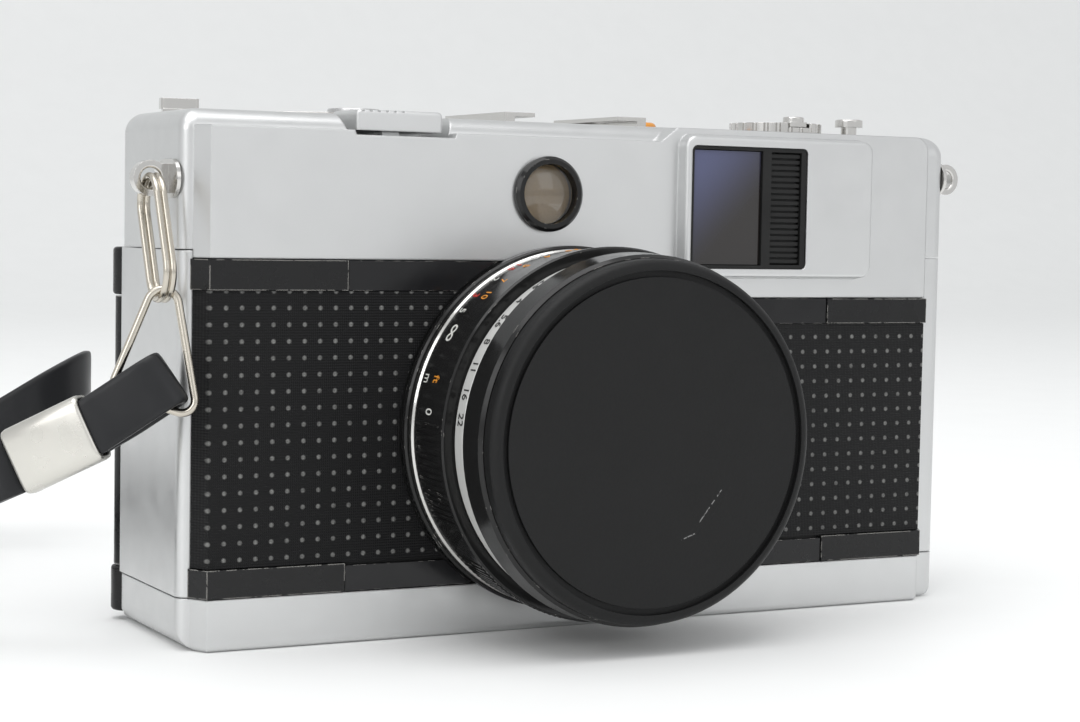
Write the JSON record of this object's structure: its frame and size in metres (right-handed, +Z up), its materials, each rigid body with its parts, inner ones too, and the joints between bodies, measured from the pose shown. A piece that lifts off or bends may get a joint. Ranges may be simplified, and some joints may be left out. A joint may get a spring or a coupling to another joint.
{
  "type": "half frame camera",
  "caption": "Compact metal half frame film camera with raised finder block, round capped lens, black leatherette and a wrist strap on a split ring.",
  "frame": {"origin": "on the standing surface, half way across the body, where the tripod socket is", "axes": "+X right seen from the front, +Y from the lens to the back, +Z up"},
  "size_m": [0.1821, 0.1353, 0.069],
  "materials": {
    "satin_chrome": "satin, finely grained",
    "bright_metal": "polished",
    "nickel": "warm, polished",
    "black_casting": "matt black",
    "black_trim": "semi-gloss",
    "black_enamel": "gloss",
    "leatherette": "embossed",
    "black_plastic": "grained",
    "gloss_plastic": "gloss",
    "vinyl": "satin vinyl",
    "glass": "clear",
    "cell": "satin",
    "steel": "satin",
    "brass": "satin",
    "lamp": "clear"
  },
  "bodies": {
    "body": {"accessory_shoe": "bright_metal", "bottom_cover": "satin_chrome", "bottom_screws": "steel", "check_lamp": "lamp", "chrome_ring": "bright_metal", "counter_dial": "black_plastic", "eyepiece": "black_plastic", "eyepiece_glass": "glass", "finder_bezel": "black_plastic", "finder_ribs": "black_plastic", "finder_window": "glass", "front_barrel": "black_enamel", "front_lens": "glass", "hinge_blocks": "black_trim", "hinge_pin": "steel", "leatherette_left": "leatherette", "leatherette_right": "leatherette", "lens_base_ring": "black_enamel", "lug_left": "bright_metal", "lug_right": "bright_metal", "main_casting": "black_casting", "meter_cell": "cell", "meter_lens": "glass", "meter_ring": "black_enamel", "shoe_screws": "steel", "shutter_housing": "black_casting", "side_plate_left": "satin_chrome", "side_plate_right": "satin_chrome", "top_cover": "satin_chrome", "trim_lower_left": "black_trim", "trim_lower_left_inner": "black_enamel", "trim_lower_right": "black_trim", "trim_lower_right_inner": "black_enamel", "trim_upper_left": "black_trim", "trim_upper_left_inner": "black_enamel", "trim_upper_right": "black_trim", "trim_upper_right_inner": "black_enamel", "tripod_socket": "brass"},
    "door": {"back_door": "black_trim", "door_leatherette": "leatherette", "pressure_plate": "black_casting"},
    "latch": {"door_latch": "bright_metal"},
    "split_ring": {"split_ring": "nickel"},
    "strap": {"triangle_ring": "nickel", "strap_sleeve": "nickel", "strap_end_loop": "vinyl", "wrist_strap": "vinyl"},
    "release": {"release_button": "satin_chrome"},
    "lever": {"advance_lever": "bright_metal", "lever_screw": "steel"},
    "knob": {"rewind_knob": "bright_metal"},
    "crank": {"rewind_crank": "bright_metal"},
    "check": {"check_button": "bright_metal"},
    "focus": {"focus_ring": "black_enamel"},
    "aperture": {"aperture_ring": "satin_chrome"},
    "cap": {"lens_cap": "black_plastic"},
    "spool": {"take_up_spool": "black_plastic"},
    "sprocket": {"sprocket": "black_plastic"},
    "battery_lid": {"battery_cover": "bright_metal"},
    "rewind_release": {"rewind_release": "steel"}
  },
  "joints": [
    {"name": "door_hinge", "type": "hinge", "parent": "body", "child": "door", "pos_m": [-0.0557, 0.013, 0.028], "axis": [0, 0, 1], "range_deg": [0, 70]},
    {"name": "door_latch_slide", "type": "slide", "parent": "body", "child": "latch", "axis": [0, 0, -1], "range_m": [0, 0.003], "stiffness_N_per_m": 150, "springref_m": -0.003},
    {"name": "split_ring_swing", "type": "hinge", "parent": "body", "child": "split_ring", "pos_m": [-0.06025, -0.0085, 0.05785], "axis": [0, 1, 0], "range_deg": [0, 20]},
    {"name": "strap_swing", "type": "hinge", "parent": "split_ring", "child": "strap", "pos_m": [-0.06025, -0.01474, 0.0435], "axis": [0, 0.9171, -0.3987], "range_deg": [0, 15]},
    {"name": "release_press", "type": "slide", "parent": "body", "child": "release", "axis": [0, 0, -1], "range_m": [0, 0.0006], "stiffness_N_per_m": 350, "springref_m": -0.001},
    {"name": "lever_stroke", "type": "hinge", "parent": "body", "child": "lever", "pos_m": [-0.029, 0.0015, 0.067], "axis": [0, 0, -1], "range_deg": [0, 110], "stiffness_Nm_per_rad": 0.004, "springref_deg": -17.19},
    {"name": "rewind_turn", "type": "hinge", "parent": "body", "child": "knob", "pos_m": [0.0368, 0.0005, 0.067], "axis": [0, 0, 1], "continuous": true},
    {"name": "crank_fold", "type": "hinge", "parent": "knob", "child": "crank", "pos_m": [0.0368, 0.0051, 0.0679], "axis": [-1, 0, 0], "range_deg": [0, 90]},
    {"name": "check_press", "type": "slide", "parent": "body", "child": "check", "axis": [0, 0, -1], "range_m": [0, 0.0008], "stiffness_N_per_m": 200, "springref_m": -0.001},
    {"name": "focus_turn", "type": "hinge", "parent": "body", "child": "focus", "pos_m": [-0.0053, -0.02, 0.02655], "axis": [0, -1, 0], "range_deg": [0, 110]},
    {"name": "aperture_turn", "type": "hinge", "parent": "body", "child": "aperture", "pos_m": [-0.0053, -0.02, 0.02655], "axis": [0, -1, 0], "range_deg": [-60, 60]},
    {"name": "cap_pull", "type": "slide", "parent": "body", "child": "cap", "axis": [0, -1, 0], "range_m": [0, 0.015]},
    {"name": "spool_turn", "type": "hinge", "parent": "body", "child": "spool", "pos_m": [-0.0395, -0.0012, 0.028], "axis": [0, 0, 1], "continuous": true},
    {"name": "sprocket_turn", "type": "hinge", "parent": "body", "child": "sprocket", "pos_m": [-0.0225, 0.0064, 0.028], "axis": [0, 0, 1], "continuous": true},
    {"name": "battery_lid_turn", "type": "hinge", "parent": "body", "child": "battery_lid", "pos_m": [0.03, -0.001, 0.001], "axis": [0, 0, 1], "range_deg": [0, 60]},
    {"name": "rewind_release_press", "type": "slide", "parent": "body", "child": "rewind_release", "axis": [0, 0, 1], "range_m": [0, 0.001], "stiffness_N_per_m": 200, "springref_m": -0.001}
  ]
}
